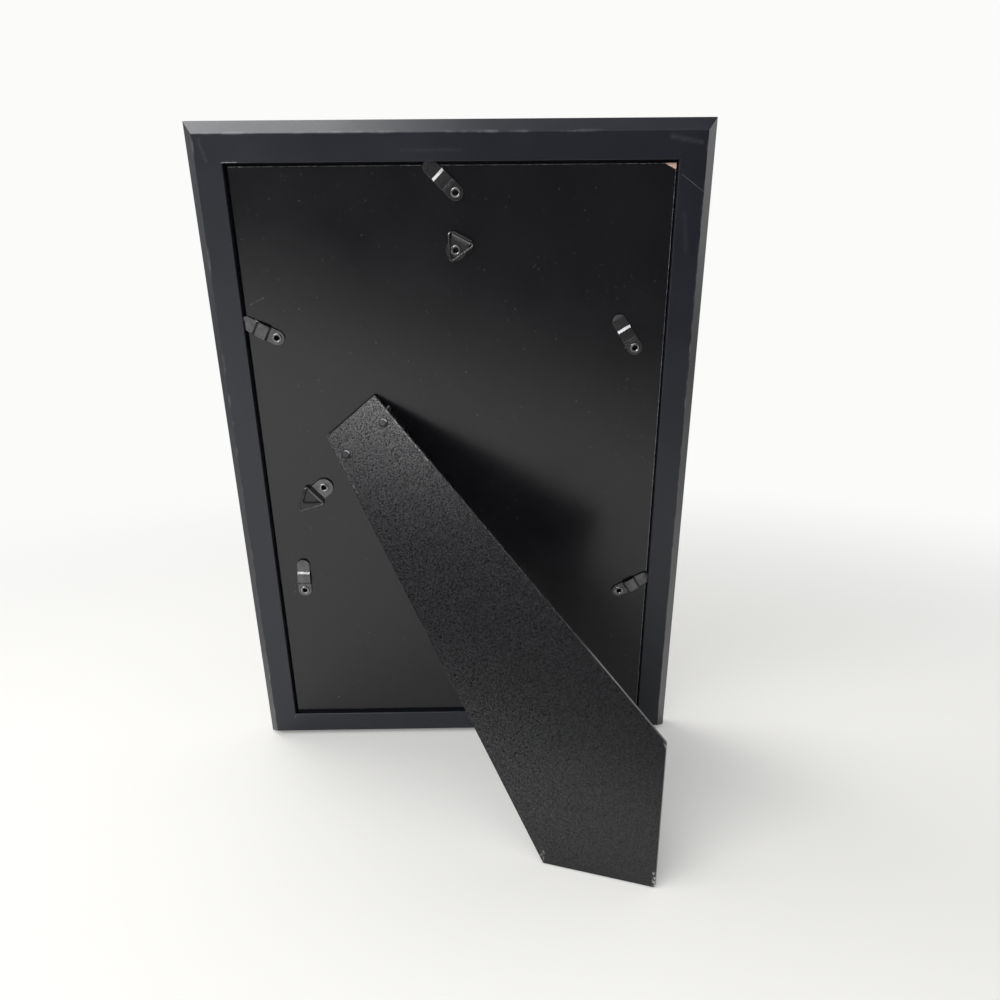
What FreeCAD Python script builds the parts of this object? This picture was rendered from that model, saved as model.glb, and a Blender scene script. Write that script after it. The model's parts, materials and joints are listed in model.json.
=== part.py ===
import FreeCAD, Part
import math
import os

# Easel back picture frame for a 20 x 30 cm print, standing upright on its strut.
# The four mitred rails are laid out flat to the XZ plane first: X runs along the bottom rail,
# Y out of the back and Z up the frame. The whole frame is then leaned back onto its strut.
# Left and right are as seen from behind, where the fittings are, so left is +X.

V = FreeCAD.Vector

# Driving dimensions, in millimetres and degrees

# Rails: flat back face, bevel out to the widest line, square side, lip over the glass
opening_width = 202.0
opening_height = 302.0
face_width = 12.0
bevel_width = 5.0
bevel_depth = 7.1
frame_depth = 14.0
lip_overhang = 5.0
arris_radius = 0.4
front_radius = 1.2
sight_radius = 0.8

# Saw kerf round the rebate, which takes the tips of the turn buttons
kerf_above_board = 0.1
kerf_width = 1.6
kerf_depth = 4.0

# V nails across the mitres
nail_inset = 9.5
nail_leg = 5.0
nail_thickness = 0.6
nail_height = 7.0
nail_below_back = 0.9

# What the rebate holds, from the back: a hardboard faced with paper, a card and the glass
recess_depth = 2.5
board_thickness = 3.0
paper_thickness = 0.25
card_thickness = 0.5
glass_thickness = 2.0
glass_side_gap = 1.0
glass_arris = 0.3
board_side_gap = 1.0
board_top_gap = 1.5
board_shift = 0.35
torn_length = 5.6
torn_drop = 2.5
torn_width = 0.7

# Lean of the frame, the same standing upright or on its long side
lean = 12.7

# Turn buttons: pressed strips with a round lug, a finger hump and a low rounded tip
button_reach = 18.8
button_lug_radius = 3.6
button_tip_radius = 3.35
button_sheet = 0.7
button_lift = 0.25
button_hump = 1.35
button_bend_radius = 0.8
button_inset = 14.5

# Underside of the strip from lug to tip, as shares of the reach and of the hump, and how much
# of the bend radius each bend has on its upper side
button_shares = (
    (0.205, 0.0, 0),
    (0.270, 1.0, 1),
    (0.400, 0.94, 0),
    (0.545, 0.70, 0),
    (0.612, 0.03, 0),
    (0.885, 0.03, 0),
    (1.020, 0.34, 0),
)

# Each button: rail that it locks into, pivot along that rail as a share of its half length,
# pivot inset as a share of the named inset, and where the tip points, anticlockwise from right
turn_buttons = {
    "top": ("top", 0.014, 0.905, 135.7),
    "left_upper": ("left", 0.481, 1.012, 152.3),
    "right_upper": ("right", 0.437, 1.007, 122.2),
    "left_lower": ("left", -0.447, 0.952, 88.0),
    "right_lower": ("right", -0.467, 1.069, 30.0),
}

# Eyelets: hollow rivets through the board, with a rolled rim over the fitting
eyelet_bore_radius = 1.45
eyelet_wall = 0.35
eyelet_rim_radius = 2.4
eyelet_rim_height = 0.5
eyelet_running_gap = 0.06
eyelet_seat_gap = 0.05

# Hangers: a strap folded round the base of a triangular wire ring
strap_width = 9.4
strap_sheet = 0.6
strap_lift = 0.1
strap_fold_reach = 6.2
strap_wedge_start = 3.9
ring_wire_radius = 0.55
ring_wire_sides = 10
ring_corner_bends = 3
ring_running_gap = 0.1
ring_half_base = 6.75
ring_height = 12.3
ring_corner_radius = 1.3
ring_apex_radius = 1.2

# Each hanger: place on the back as shares of the half opening, and where its strap points
hangers = {
    "upper": (0.008, 0.747, 62.0),
    "side": (-0.704, -0.040, 221.0),
}

# Easel strut and its two leaf hinge
strut_thickness = 2.5
strut_top_width = 33.6
strut_taper = 6.0
strut_corner_radius = 0.8
strut_open_angle = 33.1
strut_axis_angle = 40.2
strut_pivot_shares = (-0.478, 0.171)
stop_gap = 0.1
hinge_sheet = 1.0
hinge_pin_radius = 1.25
hinge_pin_gap = 0.05
hinge_gap = 0.1
hinge_width = 35.0
hinge_knuckles = 3
hinge_knuckle_gap = 0.2
hinge_leaf_length = 16.0
hinge_leaf_radius = 1.5
hinge_pin_proud = 1.2

# Rivets
rivet_shank_radius = 1.5
rivet_head_radius = 2.4
rivet_head_height = 0.8
strut_rivet_spread = 12.8
strut_rivet_drop = 6.2
leaf_rivet_spread = 9.0
leaf_rivet_drop = 10.0

# Overrun of every cutting tool past the faces that it cuts
overrun = 1.0

# Sizes that follow from the driving dimensions

half_width = opening_width / 2
half_height = opening_height / 2
rail_width = face_width + bevel_width
outer_half_width = half_width + rail_width
outer_half_height = half_height + rail_width
surface = -recess_depth
board_front = surface - board_thickness
card_front = board_front - card_thickness
glass_front = card_front - glass_thickness
knuckle_radius = hinge_pin_radius + hinge_pin_gap + hinge_sheet
axis_height = knuckle_radius + hinge_gap
opening_sine = math.sin(math.radians(strut_open_angle))
opening_cosine = math.cos(math.radians(strut_open_angle))
stop_reach = (axis_height * (1 + opening_cosine) - stop_gap) / opening_sine
eyelet_radius = eyelet_bore_radius + eyelet_wall
ring_axis_height = strap_lift + strap_sheet + ring_wire_radius + ring_running_gap
strap_stack = strap_lift + strap_sheet * 2
lean_sine = math.sin(math.radians(lean))
lean_cosine = math.cos(math.radians(lean))


# Construction helpers

def rounded_face(corners):
    """Face in the XY plane through corners (x, y, radius), each rounded by its radius."""
    count = len(corners)
    starts = []
    ends = []
    arcs = []
    for index in range(count):
        x, y, radius = corners[index]
        here = V(x, y, 0)
        before = V(corners[index - 1][0], corners[index - 1][1], 0) - here
        after = V(corners[(index + 1) % count][0], corners[(index + 1) % count][1], 0) - here
        half_turn = before.getAngle(after) / 2
        before.normalize()
        after.normalize()
        if radius == 0:
            starts.append(here)
            ends.append(here)
            arcs.append(None)
            continue
        run = radius / math.tan(half_turn)
        inward = (before + after).normalize()
        middle = here + inward * (radius / math.sin(half_turn) - radius)
        starts.append(here + before * run)
        ends.append(here + after * run)
        arcs.append(middle)
    edges = []
    for index in range(count):
        if arcs[index] is not None:
            edges.append(Part.Arc(starts[index], arcs[index], ends[index]).toShape())
        following = starts[(index + 1) % count]
        edges.append(Part.LineSegment(ends[index], following).toShape())
    return Part.Face(Part.Wire(edges))


def plain(points, radius=0.0):
    """The same rounding radius on every corner of an outline."""
    return [(x, y, radius) for x, y in points]


def slab(face, bottom, top):
    """Solid between two heights above the plane of a face drawn in XY."""
    solid = face.extrude(V(0, 0, top - bottom))
    solid.translate(V(0, 0, bottom))
    return solid


def side_strip(face, width):
    """Solid of a side view drawn in XY, stood up in XZ and spread evenly across Y."""
    solid = face.extrude(V(0, 0, width))
    solid.rotate(V(0, 0, 0), V(1, 0, 0), 90)
    solid.translate(V(0, width / 2, 0))
    return solid


def turned(points):
    """Solid of revolution about Z from (radius, height) points."""
    corners = [V(radius, 0, height) for radius, height in points]
    profile = Part.Face(Part.makePolygon(corners + [corners[0]]))
    return profile.revolve(V(0, 0, 0), V(0, 0, 1), 360)


def placed(shape, origin, x_axis, z_axis):
    """Copy of a shape with its own X and Z turned to the given axes, at the given origin."""
    moved = shape.copy()
    rotation = FreeCAD.Rotation(x_axis, z_axis.cross(x_axis), z_axis, "ZXY")
    moved.Placement = FreeCAD.Placement(origin, rotation).multiply(moved.Placement)
    return moved


def pointing(angle):
    """Direction along the back, given anticlockwise from right as seen from behind."""
    return V(-math.cos(math.radians(angle)), 0, math.sin(math.radians(angle)))


def on_board(right, up, height=0.0):
    """Point above the backboard, from its place right of and above the middle, from behind."""
    return V(-right, surface + height, up)


def fitted(shape, place, angle):
    """A fitting drawn on the XY plane, laid on the backboard with its X pointing at an angle."""
    return placed(shape, on_board(*place), pointing(angle), V(0, 1, 0))


# Rails

def rail_profile():
    """Section of a rail: X runs outwards from the opening, Y out of the back."""
    kerf_bottom = surface + kerf_above_board
    kerf_top = kerf_bottom + kerf_width
    return rounded_face([
        (0, 0, arris_radius),
        (0, kerf_top, 0),
        (kerf_depth, kerf_top, 0),
        (kerf_depth, kerf_bottom, 0),
        (0, kerf_bottom, 0),
        (0, glass_front, 0),
        (-lip_overhang, glass_front, arris_radius),
        (-lip_overhang, -frame_depth, sight_radius),
        (rail_width, -frame_depth, front_radius),
        (rail_width, -bevel_depth, arris_radius),
        (face_width, 0, arris_radius),
    ])


def make_rail(outward, half_across, half_along):
    """Rail on one side of the opening, mitred at both ends."""
    outer_half = half_along + rail_width
    inner_half = half_along - lip_overhang
    bar = slab(rail_profile(), -outer_half, outer_half)
    mitre = rounded_face(plain([
        (-lip_overhang, -inner_half),
        (rail_width, -outer_half),
        (rail_width, outer_half),
        (-lip_overhang, inner_half),
    ]))
    wedge = side_strip(mitre, frame_depth * 2 + overrun)
    bar = bar.common(wedge)
    return placed(bar, outward * half_across, outward, outward.cross(V(0, 1, 0)))


def corner_nails():
    """One V nail across each mitre, its point outwards and a leg in each rail."""
    nails = []
    for side in (-1, 1):
        for end in (-1, 1):
            outline = rounded_face(plain([
                (0, 0),
                (-nail_leg, 0),
                (-nail_leg, -nail_thickness),
                (-nail_thickness, -nail_thickness),
                (-nail_thickness, -nail_leg),
                (0, -nail_leg),
            ]))
            nail = slab(outline, nail_below_back, nail_below_back + nail_height)
            nail.rotate(V(0, 0, 0), V(1, 0, 0), 90)
            if side < 0:
                nail = nail.mirror(V(0, 0, 0), V(1, 0, 0))
            if end < 0:
                nail = nail.mirror(V(0, 0, 0), V(0, 0, 1))
            apex = V(side * (half_width + nail_inset), 0, end * (half_height + nail_inset))
            nail.translate(apex)
            nails.append(nail)
    return nails


# What the rebate holds

def pane(width, height, back, front, shift=0.0, arris=0.0):
    """Flat sheet standing on the bottom rail, between two depths behind the back face."""
    left = shift - width / 2
    outline = rounded_face(plain([
        (left, -half_height),
        (left + width, -half_height),
        (left + width, -half_height + height),
        (left, -half_height + height),
    ]))
    sheet = outline.extrude(V(0, 0, back - front))
    if arris:
        sheet = sheet.makeChamfer(arris, sheet.Edges)
    sheet.rotate(V(0, 0, 0), V(1, 0, 0), 90)
    sheet.translate(V(0, back, 0))
    return sheet


def backboard():
    """Paper faced hardboard, hung a little to the right of the middle, with a torn corner."""
    width = opening_width - board_side_gap * 2
    height = opening_height - board_top_gap
    board = pane(width, height, surface, board_front, -board_shift)
    right = width / 2 + board_shift
    top = height - half_height
    torn = rounded_face(plain([
        (right + overrun, top + overrun),
        (right - torn_length, top + overrun),
        (right - torn_length, top),
        (right - torn_width, top - torn_drop),
        (right + overrun, top - torn_drop),
    ]))
    scrap = slab(torn, -paper_thickness, overrun)
    return board.cut(placed(scrap, on_board(0, 0), V(-1, 0, 0), V(0, 1, 0)))


# Turn buttons

def button_place(rail, along_share, inset_share):
    """Pivot of a turn button, right of and above the middle, from behind."""
    inset = button_inset * inset_share
    if rail == "top":
        return (half_width * along_share, half_height - inset)
    side = 1 if rail == "right" else -1
    return (side * (half_width - inset), half_height * along_share)


def strip_outline(lug_radius, tip_radius, reach):
    """Plan of a strip with a round lug on the origin and a round tip, tangent sides between."""
    spacing = reach - tip_radius
    slope = math.asin((lug_radius - tip_radius) / spacing)
    lean_in = V(math.sin(slope), math.cos(slope), 0)
    lean_out = V(math.sin(slope), -math.cos(slope), 0)
    tip = V(spacing, 0, 0)
    edges = [
        Part.Arc(lean_in * lug_radius, V(-lug_radius, 0, 0), lean_out * lug_radius).toShape(),
        Part.LineSegment(lean_out * lug_radius, tip + lean_out * tip_radius).toShape(),
        Part.Arc(tip + lean_out * tip_radius, V(reach, 0, 0), tip + lean_in * tip_radius).toShape(),
        Part.LineSegment(tip + lean_in * tip_radius, lean_in * lug_radius).toShape(),
    ]
    return Part.Face(Part.Wire(edges))


def turn_button():
    """Pressed strip: flat lug, steep rise to the hump, long fall, step down to the tip."""
    start = -button_lug_radius - overrun
    under = [(start, button_lift, 0)]
    over = [(start, button_lift + button_sheet, 0)]
    for reach_share, hump_share, bend_share in button_shares:
        x = button_reach * reach_share
        y = button_lift + button_hump * hump_share
        under.append((x, y, 0))
        over.append((x, y + button_sheet, button_bend_radius * bend_share))
    strip = side_strip(rounded_face(under + over[::-1]), button_lug_radius * 3)
    plan = slab(
        strip_outline(button_lug_radius, button_tip_radius, button_reach),
        0, button_lift + button_hump + button_sheet * 2,
    )
    button = strip.common(plan)
    hole = eyelet_radius + eyelet_running_gap
    return button.cut(Part.makeCylinder(hole, button_sheet * 4))


def eyelet(stack):
    """Hollow rivet through the board and a fitting whose upper face is at the stack height."""
    seat = stack + eyelet_seat_gap
    return turned([
        (eyelet_bore_radius, -board_thickness),
        (eyelet_radius, -board_thickness),
        (eyelet_radius, seat),
        (eyelet_rim_radius, seat),
        (eyelet_rim_radius, seat + eyelet_rim_height),
        (eyelet_bore_radius, seat + eyelet_rim_height),
    ])


def eyelet_hole():
    """Hole through the board for an eyelet."""
    depth = board_thickness + overrun
    return Part.makeCylinder(eyelet_radius, depth + overrun, V(0, 0, -depth))


# Hangers

def strap_slope():
    """Upper leaf of the strap: its slope angle, down from the fold to the lug."""
    fold_radius = ring_wire_radius + ring_running_gap + strap_sheet
    run = strap_fold_reach - strap_wedge_start
    rise = ring_axis_height - strap_stack
    distance = math.hypot(run, rise)
    return math.atan2(rise, run) + math.asin(fold_radius / distance)


def fold_section(radius, floor_height, nose_height):
    """Side view of a teardrop round the ring wire, pointed towards the lug."""
    slope = strap_slope()
    normal = V(-math.sin(slope), math.cos(slope), 0)
    along = V(math.cos(slope), math.sin(slope), 0)
    centre = V(strap_fold_reach, ring_axis_height, 0)
    crest = centre + normal * radius
    nose = crest - along * ((crest.y - nose_height) / along.y)
    below = V(nose.x, floor_height, 0)
    bottom = V(strap_fold_reach, floor_height, 0)
    edges = [
        Part.LineSegment(bottom, below).toShape(),
        Part.LineSegment(nose, crest).toShape(),
        Part.Arc(crest, centre + V(radius, 0, 0), bottom).toShape(),
    ]
    if nose_height > floor_height:
        edges.insert(1, Part.LineSegment(below, nose).toShape())
    return Part.Face(Part.Wire(edges))


def hanger_strap():
    """Folded strap: two leaves joined under the eyelet, parted round the ring wire."""
    inner_radius = ring_wire_radius + ring_running_gap
    outer = fold_section(inner_radius + strap_sheet, strap_lift, strap_stack + strap_lift)
    inner = fold_section(inner_radius, strap_lift + strap_sheet, strap_lift + strap_sheet)
    start = -strap_width / 2 - overrun
    flat = rounded_face(plain([
        (start, strap_lift),
        (strap_wedge_start + overrun, strap_lift),
        (strap_wedge_start + overrun, strap_lift + strap_sheet * 2),
        (start, strap_lift + strap_sheet * 2),
    ]))
    loop = side_strip(outer, strap_width).cut(side_strip(inner, strap_width + overrun))
    strap = loop.fuse(side_strip(flat, strap_width)).removeSplitter()
    strap = strap.cut(side_strip(inner, strap_width + overrun))
    plan = slab(
        strip_outline(strap_width / 2, strap_width / 2, strap_fold_reach + strap_width * 2),
        0, strap_width,
    )
    strap = strap.common(plan)
    return strap.cut(Part.makeCylinder(eyelet_radius + eyelet_running_gap, strap_width))


def ring_path():
    """Centre line of the triangular ring in XY, its base on Y and its apex along X."""
    corners = (
        (0, -ring_half_base, ring_corner_radius),
        (ring_height, 0, ring_apex_radius),
        (0, ring_half_base, ring_corner_radius),
    )
    points = []
    for edge in rounded_face(corners).OuterWire.OrderedEdges:
        if edge.Curve.TypeId == "Part::GeomCircle":
            points += edge.discretize(ring_corner_bends + 1)
    return Part.makePolygon(points + [points[0]])


def hanger_ring():
    """Wire bent to a triangle in short straights, its two ends butted inside the strap's fold."""
    path = ring_path()
    start = path.Edges[0]
    across = start.tangentAt(0).cross(V(0, 0, 1)) * ring_wire_radius
    corners = []
    for index in range(ring_wire_sides):
        turn = math.radians(360 * (index + 0.5) / ring_wire_sides)
        offset = across * math.cos(turn) + V(0, 0, ring_wire_radius) * math.sin(turn)
        corners.append(start.Vertexes[0].Point + offset)
    section = Part.makePolygon(corners + [corners[0]])
    return path.makePipeShell([section], True, False, 1)


def hang_angle(strap_angle):
    """Angle from the strap's own direction, out from the board, at which a ring hangs plumb."""
    fall = -lean_cosine * math.sin(math.radians(strap_angle))
    return math.degrees(math.atan2(lean_sine, fall))


# Easel hinge and strut

strut_across = pointing(strut_axis_angle)
strut_down_board = pointing(strut_axis_angle - 90)
back = V(0, 1, 0)
strut_down = strut_down_board * opening_cosine + back * opening_sine
strut_out = back * opening_cosine - strut_down_board * opening_sine
strut_pivot = on_board(
    half_width * strut_pivot_shares[0], half_height * strut_pivot_shares[1], axis_height
)


def on_strut(shape):
    """A piece of the strut, drawn in XY with Y up the strut, swung out on the hinge."""
    return placed(shape, strut_pivot, strut_across, strut_out)


def floor_line(floor_normal, floor_point):
    """Floor seen in the strut's inner face: coefficients of x and y, and the constant."""
    corner = strut_pivot + strut_out * axis_height - floor_point
    return (floor_normal.dot(strut_across), -floor_normal.dot(strut_down), -floor_normal.dot(corner))


def meet(first, second):
    """Point where two such lines cross."""
    determinant = first[0] * second[1] - first[1] * second[0]
    x = (first[2] * second[1] - first[1] * second[2]) / determinant
    y = (first[0] * second[2] - first[2] * second[0]) / determinant
    return (x, y)


def strut_outline():
    """Strut: narrow top, tapering sides, and two foot edges, one for each way of standing."""
    taper = math.tan(math.radians(strut_taper))
    half_top = strut_top_width / 2
    widest = half_top + stop_reach * taper
    left_side = (1, -taper, -widest)
    right_side = (1, taper, widest)
    upright_floor = floor_line(
        V(0, -lean_sine, lean_cosine), V(0, -bevel_depth, -outer_half_height)
    )
    sideways_floor = floor_line(
        V(lean_cosine, -lean_sine, 0), V(-outer_half_width, -bevel_depth, 0)
    )
    return [
        (half_top, stop_reach),
        (-half_top, stop_reach),
        meet(left_side, upright_floor),
        meet(upright_floor, sideways_floor),
        meet(right_side, sideways_floor),
    ]


def rivet_places(spread, drop):
    """Pair of rivets either side of the middle, a drop below the hinge axis."""
    return (V(-spread, -drop, 0), V(spread, -drop, 0))


def easel_strut():
    """Stiff board whose top edge bears on the backboard when it is open."""
    face = rounded_face(plain(strut_outline(), strut_corner_radius))
    board = slab(face, axis_height, axis_height + strut_thickness)
    for place in rivet_places(strut_rivet_spread, strut_rivet_drop):
        board = board.cut(Part.makeCylinder(rivet_shank_radius, strut_thickness * 2 + axis_height, place))
    return board


def hinge_leaf(own_knuckles):
    """Leaf below the hinge axis, rolled round the pin at its own knuckles."""
    half = hinge_width / 2
    pitch = (hinge_width + hinge_knuckle_gap) / hinge_knuckles
    edge = -knuckle_radius - hinge_gap * 2
    outline = [
        (-half, edge, 0),
        (-half, -hinge_leaf_length, hinge_leaf_radius),
        (half, -hinge_leaf_length, hinge_leaf_radius),
        (half, edge, 0),
    ]
    leaf = slab(rounded_face(outline), -axis_height, hinge_sheet - axis_height)
    for index in own_knuckles:
        left = -half + pitch * index
        width = pitch - hinge_knuckle_gap
        tab = Part.makeBox(
            width, hinge_sheet - edge, hinge_sheet, V(left, edge - hinge_sheet, -axis_height)
        )
        tube = Part.makeCylinder(knuckle_radius, width, V(left, 0, 0), V(1, 0, 0))
        leaf = leaf.fuse([tab, tube])
    bore = Part.makeCylinder(
        hinge_pin_radius + hinge_pin_gap, hinge_width + overrun * 2,
        V(-half - overrun, 0, 0), V(1, 0, 0),
    )
    return leaf.removeSplitter().cut(bore)


def drilled(shape, places, depth):
    """A shape with a rivet hole through it at each place."""
    for place in places:
        shape = shape.cut(Part.makeCylinder(rivet_shank_radius, depth * 2, place - V(0, 0, depth)))
    return shape


def rivet(head_seat, foot):
    """Rivet along Z, from its foot to a low flat head."""
    crown = head_seat + rivet_head_height
    return turned([
        (0, foot),
        (rivet_shank_radius, foot),
        (rivet_shank_radius, head_seat),
        (rivet_head_radius, head_seat),
        (rivet_head_radius, crown),
        (0, crown),
    ])


def hinge_pin():
    """Pin through all the knuckles, just proud of the strut at both sides."""
    taper = math.tan(math.radians(strut_taper))
    half = strut_top_width / 2 + stop_reach * taper + hinge_pin_proud
    return Part.makeCylinder(hinge_pin_radius, half * 2, V(-half, 0, 0), V(1, 0, 0))


# The pieces

def build():
    """Every node of the frame, still upright, by name."""
    nodes = {}
    nails = corner_nails()
    rails = {
        "rail_top": (V(0, 0, 1), half_height, half_width),
        "rail_bottom": (V(0, 0, -1), half_height, half_width),
        "rail_left": (V(1, 0, 0), half_width, half_height),
        "rail_right": (V(-1, 0, 0), half_width, half_height),
    }
    for name, (outward, half_across, half_along) in rails.items():
        nodes[name] = make_rail(outward, half_across, half_along).cut(nails)
    nodes["corner_nails"] = Part.makeCompound(nails)

    glass_width = opening_width - glass_side_gap * 2
    glass_height = opening_height - glass_side_gap * 2
    nodes["glass_pane"] = pane(glass_width, glass_height, card_front, glass_front, arris=glass_arris)
    nodes["picture_card"] = pane(glass_width, glass_height, board_front, card_front)

    board = backboard()
    button = turn_button()
    button_stack = button_lift + button_sheet
    for name, (rail, along_share, inset_share, angle) in turn_buttons.items():
        place = button_place(rail, along_share, inset_share)
        nodes["turn_button_" + name] = fitted(button, place, angle)
        nodes["button_eyelet_" + name] = fitted(eyelet(button_stack), place, angle)
        board = board.cut(fitted(eyelet_hole(), place, angle))

    strap = hanger_strap()
    ring = hanger_ring()
    for name, (right_share, up_share, angle) in hangers.items():
        place = (half_width * right_share, half_height * up_share)
        swung = ring.copy()
        swung.rotate(V(0, 0, 0), V(0, 1, 0), -hang_angle(angle))
        swung.translate(V(strap_fold_reach, 0, ring_axis_height))
        nodes["hanger_strap_" + name] = fitted(strap, place, angle)
        nodes["hanger_ring_" + name] = fitted(swung, place, angle)
        nodes["hanger_eyelet_" + name] = fitted(eyelet(strap_stack), place, angle)
        board = board.cut(fitted(eyelet_hole(), place, angle))

    outer_knuckles = range(0, hinge_knuckles, 2)
    inner_knuckles = range(1, hinge_knuckles, 2)
    leaf_places = rivet_places(leaf_rivet_spread, leaf_rivet_drop)
    strut_places = rivet_places(strut_rivet_spread, strut_rivet_drop)
    through = axis_height + strut_thickness
    board_leaf = drilled(hinge_leaf(outer_knuckles), leaf_places, through)
    strut_leaf = hinge_leaf(inner_knuckles).mirror(V(0, 0, 0), V(0, 0, 1))
    strut_leaf = drilled(strut_leaf, strut_places, through)
    leaf_rivet = rivet(hinge_sheet - axis_height, -axis_height - board_thickness)
    strut_rivet = rivet(axis_height + strut_thickness, axis_height - hinge_sheet)
    leaf_rivets = []
    strut_rivets = []
    for place in leaf_places:
        piece = leaf_rivet.copy()
        piece.translate(place)
        leaf_rivets.append(placed(piece, strut_pivot, strut_across, back))
    for place in strut_places:
        piece = strut_rivet.copy()
        piece.translate(place)
        strut_rivets.append(on_strut(piece))
    board = board.cut(leaf_rivets)
    nodes["hinge_board_leaf"] = placed(board_leaf, strut_pivot, strut_across, back)
    nodes["hinge_strut_leaf"] = on_strut(strut_leaf)
    nodes["hinge_pin"] = placed(hinge_pin(), strut_pivot, strut_across, back)
    nodes["leaf_rivets"] = Part.makeCompound(leaf_rivets)
    nodes["strut_rivets"] = Part.makeCompound(strut_rivets)
    nodes["easel_strut"] = on_strut(easel_strut())
    nodes["backboard"] = board
    return nodes


def stand(nodes):
    """Lean the frame back onto its strut, over the middle of the space that it takes."""
    upright = FreeCAD.Placement(V(0, bevel_depth, outer_half_height), FreeCAD.Rotation())
    leaned = FreeCAD.Placement(V(0, 0, 0), FreeCAD.Rotation(V(1, 0, 0), -lean)).multiply(upright)
    for shape in nodes.values():
        shape.Placement = leaned.multiply(shape.Placement)
    depths = [point.Point.y for shape in nodes.values() for point in shape.Vertexes]
    centring = V(0, -(min(depths) + max(depths)) / 2, 0)
    for shape in nodes.values():
        shape.translate(centring)
    return FreeCAD.Placement(centring, FreeCAD.Rotation()).multiply(leaned)


nodes = build()
standing = stand(nodes)
os.makedirs("parts", exist_ok=True)
for name, shape in nodes.items():
    shape.exportStep("parts/" + name + ".step")
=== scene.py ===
"""Looks of the easel back picture frame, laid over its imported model."""

import json
import math

import bpy
from mathutils import Matrix, Vector


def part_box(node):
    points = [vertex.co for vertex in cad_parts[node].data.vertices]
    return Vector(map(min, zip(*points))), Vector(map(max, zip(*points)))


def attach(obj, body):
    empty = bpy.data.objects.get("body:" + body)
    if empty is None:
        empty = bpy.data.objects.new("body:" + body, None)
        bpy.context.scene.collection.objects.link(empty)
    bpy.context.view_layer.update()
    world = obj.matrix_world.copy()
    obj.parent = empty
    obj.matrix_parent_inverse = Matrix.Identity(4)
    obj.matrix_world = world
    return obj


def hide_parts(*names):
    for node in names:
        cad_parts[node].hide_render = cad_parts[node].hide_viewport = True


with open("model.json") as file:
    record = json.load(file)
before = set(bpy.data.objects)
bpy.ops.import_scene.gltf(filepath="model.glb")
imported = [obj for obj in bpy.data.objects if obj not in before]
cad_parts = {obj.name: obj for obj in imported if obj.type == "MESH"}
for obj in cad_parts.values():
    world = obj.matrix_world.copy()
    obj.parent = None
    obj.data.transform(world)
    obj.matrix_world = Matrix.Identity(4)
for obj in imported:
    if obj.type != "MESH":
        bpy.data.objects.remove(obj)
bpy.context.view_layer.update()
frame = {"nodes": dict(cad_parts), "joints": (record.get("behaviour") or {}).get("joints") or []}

bl_info = {
    "name": "Easel Back Picture Frame",
    "version": (1, 0, 0),
    "blender": (4, 5, 0),
    "location": "View3D > Sidebar > Picture Frame",
    "description": "Finishes and fine fittings of a black easel back picture frame",
    "category": "Object",
}

NODES = frame["nodes"]
JOINTS = {joint["name"]: joint for joint in frame["joints"]}
BUTTONS = ("top", "left_upper", "right_upper", "left_lower", "right_lower")
HANGERS = ("upper", "side")

# The back of the frame as a plane: its lean, its directions and the middle of the opening
LEAN = math.radians(12.7)
RIGHT = Vector((-1, 0, 0))
OUT = Vector((0, math.cos(LEAN), -math.sin(LEAN)))
UP = Vector((0, math.sin(LEAN), math.cos(LEAN)))
OPENING_HALF = (0.101, 0.151)
BACK_WIDTH = 0.0121
BOARD_SURFACE = -0.0025
BOARD_THICKNESS = 0.003
CARD_BACK = -0.0058
BOARD_DROP = 0.00075  # The board rests low in its rebate, this far below the opening's middle
board_low, board_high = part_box("backboard")
MIDDLE = (board_low + board_high) / 2 + UP * BOARD_DROP
MIDDLE -= OUT * (BOARD_SURFACE - BOARD_THICKNESS / 2)
MIDDLE.x = 0

# The torn corner of the facing paper: how far right, up and below the paper it starts
TORN_RIGHT = 0.0945
TORN_UP = 0.1461
TORN_BELOW = BOARD_SURFACE - 0.00015
EDGE_BLUR = 0.0001

# The opened strut as a plane: across it from behind, down to its foot and out of its outer face
STRUT_OPEN = math.radians(33.1)
STRUT_TURN = math.radians(40.2)
STRUT_PIVOT = Vector(JOINTS["strut_fold"]["pos_m"])
ACROSS = RIGHT * math.cos(STRUT_TURN) + UP * math.sin(STRUT_TURN)
FOLDED_DOWN = RIGHT * math.sin(STRUT_TURN) - UP * math.cos(STRUT_TURN)
DOWN = FOLDED_DOWN * math.cos(STRUT_OPEN) + OUT * math.sin(STRUT_OPEN)
STRUT_OUT = OUT * math.cos(STRUT_OPEN) - FOLDED_DOWN * math.sin(STRUT_OPEN)
GRAIN_MIDDLE = 0.54  # Middle of the noise that draws the grain of the strut's cover

# Where the photograph was taken from, and which way the camera's back and right point
CAMERA_PLACE = Vector((-0.0159, 0.4027, 0.2412))
CAMERA_BACK = Vector((0.0098, 0.9781, 0.2079)).normalized()
CAMERA_RIGHT = Vector((-0.9999, 0.0121, -0.0100))

# Modelled pieces: points closer than WELD are merged, faces within FLAT of each other too,
# edges sharper than CREASE are eased, and edges sharper than SMOOTH stay sharp in the shading
WELD = 2e-6
FLAT = math.radians(2)
CREASE = math.radians(20)
SMOOTH = math.radians(35)

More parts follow.
